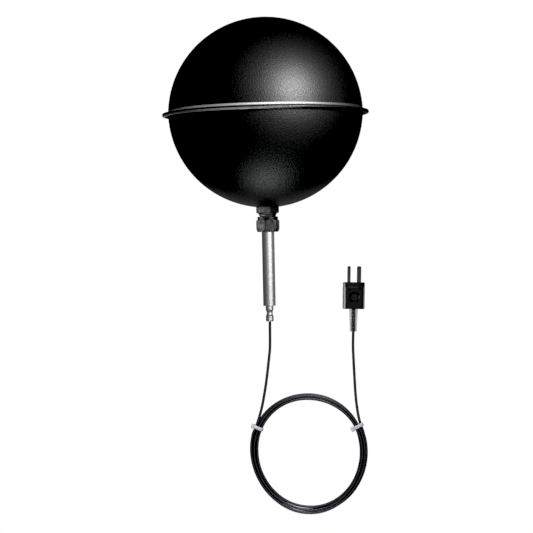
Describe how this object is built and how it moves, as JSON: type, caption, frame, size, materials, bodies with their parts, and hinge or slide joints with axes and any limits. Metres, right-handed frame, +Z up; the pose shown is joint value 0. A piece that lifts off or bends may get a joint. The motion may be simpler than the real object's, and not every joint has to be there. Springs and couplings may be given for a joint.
{
  "type": "globe thermometer probe",
  "caption": "Matt black hollow globe on a steel stem with a compression fitting, a coiled thermocouple cable and a flat-blade plug, for measuring radiant heat.",
  "frame": {"origin": "on the stem's axis, halfway along its free stretch, where a stand clamp holds it", "axes": "+Z up the stem to the globe, +X to the right towards the plug, -Y towards the camera"},
  "size_m": [0.1592, 0.1592, 0.3835],
  "materials": {
    "globe_paint": "matt black paint with a fine grain",
    "dark_fitting": "satin dark grey",
    "zinc_steel": "zinc plated",
    "ferrule_brass": "turned",
    "stainless_steel": "bright drawn",
    "polished_steel": "polished",
    "black_screw": "black oxide",
    "insulating_plastic": "matt",
    "green_wire": "smooth",
    "white_wire": "smooth",
    "cable_jacket": "satin black",
    "tie_nylon": "natural white",
    "clear_vinyl": "clear",
    "plug_plastic": "satin black",
    "contact_alloy": "dull alloy"
  },
  "bodies": {
    "stem": {"stem_tube": "stainless_steel", "stem_top_bush": "insulating_plastic", "sensor_sheath": "stainless_steel", "positive_wire": "green_wire", "negative_wire": "white_wire", "stem_end_plug": "stainless_steel", "crimp_sleeve": "polished_steel", "cable_end": "cable_jacket", "cable_lead": "cable_jacket", "cable_coil": "cable_jacket", "cable_tail": "cable_jacket", "tie_left": "tie_nylon", "tie_right": "tie_nylon", "strain_relief": "clear_vinyl", "plug_base": "plug_plastic", "plug_cover": "plug_plastic", "plug_screw": "black_screw", "positive_contact": "contact_alloy", "negative_contact": "contact_alloy", "terminal_screws": "zinc_steel", "plug_wires": "green_wire"},
    "ferrule": {"front_ferrule": "ferrule_brass"},
    "globe": {"upper_shell": "globe_paint", "lower_shell": "globe_paint", "fitting_body": "dark_fitting", "lock_washer": "zinc_steel", "lock_nut": "zinc_steel"},
    "thrust_ring": {"back_ferrule": "ferrule_brass"},
    "nut": {"union_nut": "dark_fitting"}
  },
  "joints": [
    {"name": "globe_slide", "type": "slide", "parent": "stem", "child": "ferrule", "axis": [0, 0, 1], "range_m": [-0.03, 0.012]},
    {"name": "globe_turn", "type": "hinge", "parent": "ferrule", "child": "globe", "pos_m": [0, 0, 0.034], "axis": [0, 0, 1], "continuous": true},
    {"name": "nut_travel", "type": "slide", "parent": "globe", "child": "thrust_ring", "axis": [0, 0, 1], "range_m": [-0.0045, 0]},
    {"name": "nut_turn", "type": "hinge", "parent": "thrust_ring", "child": "nut", "pos_m": [0, 0, 0.034], "axis": [0, 0, 1], "range_deg": [-1080, 0]}
  ],
  "couplings": [
    {"joint": "nut_travel", "follows": "nut_turn", "m_per_rad": 0.00023871}
  ]
}
